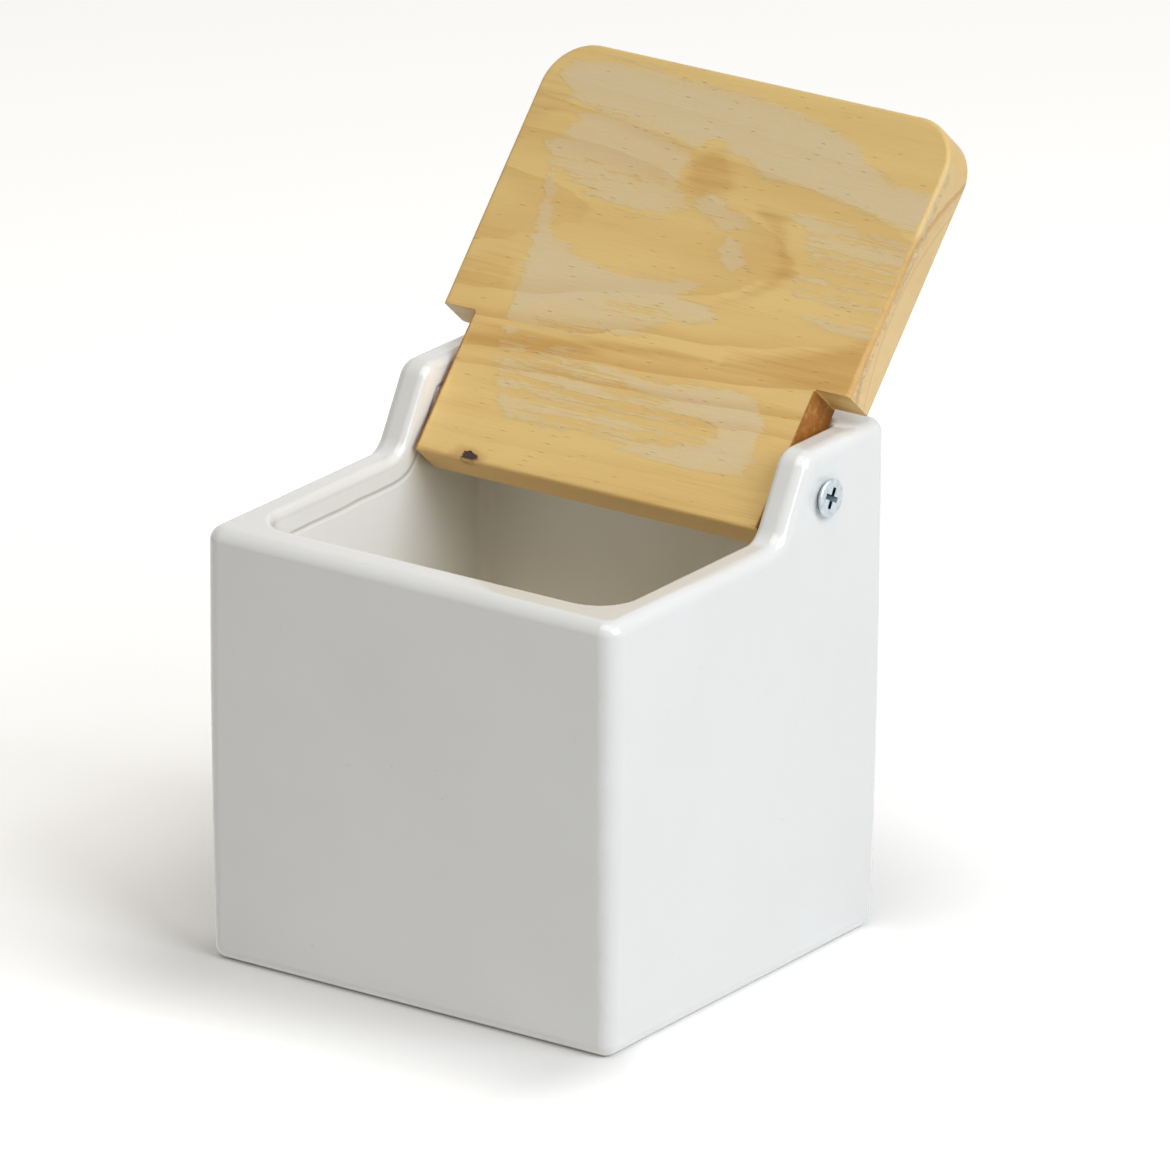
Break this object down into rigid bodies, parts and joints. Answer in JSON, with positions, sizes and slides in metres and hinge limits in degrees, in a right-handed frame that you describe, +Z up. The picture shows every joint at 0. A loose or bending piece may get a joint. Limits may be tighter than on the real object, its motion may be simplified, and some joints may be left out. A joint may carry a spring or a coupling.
{
  "type": "salt box with hinged lid",
  "caption": "Square glazed ceramic salt box with a U-shaped collar that carries a wooden lid on two screws; the lid swings open to lean on the collar.",
  "frame": {"origin": "centre of the base, at the level of the foot ring", "axes": "+Z up, the open front faces -Y, the collar and hinge are towards +Y, +X to the right seen from the front"},
  "size_m": [0.1032, 0.1294, 0.1623],
  "materials": {
    "glaze": "gloss off-white glaze",
    "pine": "oiled pine, satin",
    "zinc": "zinc plated"
  },
  "bodies": {
    "body": {"ceramic_body": "glaze"},
    "lid": {"wooden_lid": "pine", "screw_right": "zinc", "screw_left": "zinc"}
  },
  "joints": [
    {"name": "lid_hinge", "type": "hinge", "parent": "body", "child": "lid", "pos_m": [0, 0.0255, 0.0981], "axis": [1, 0, 0], "range_deg": [0, 131.3]}
  ]
}
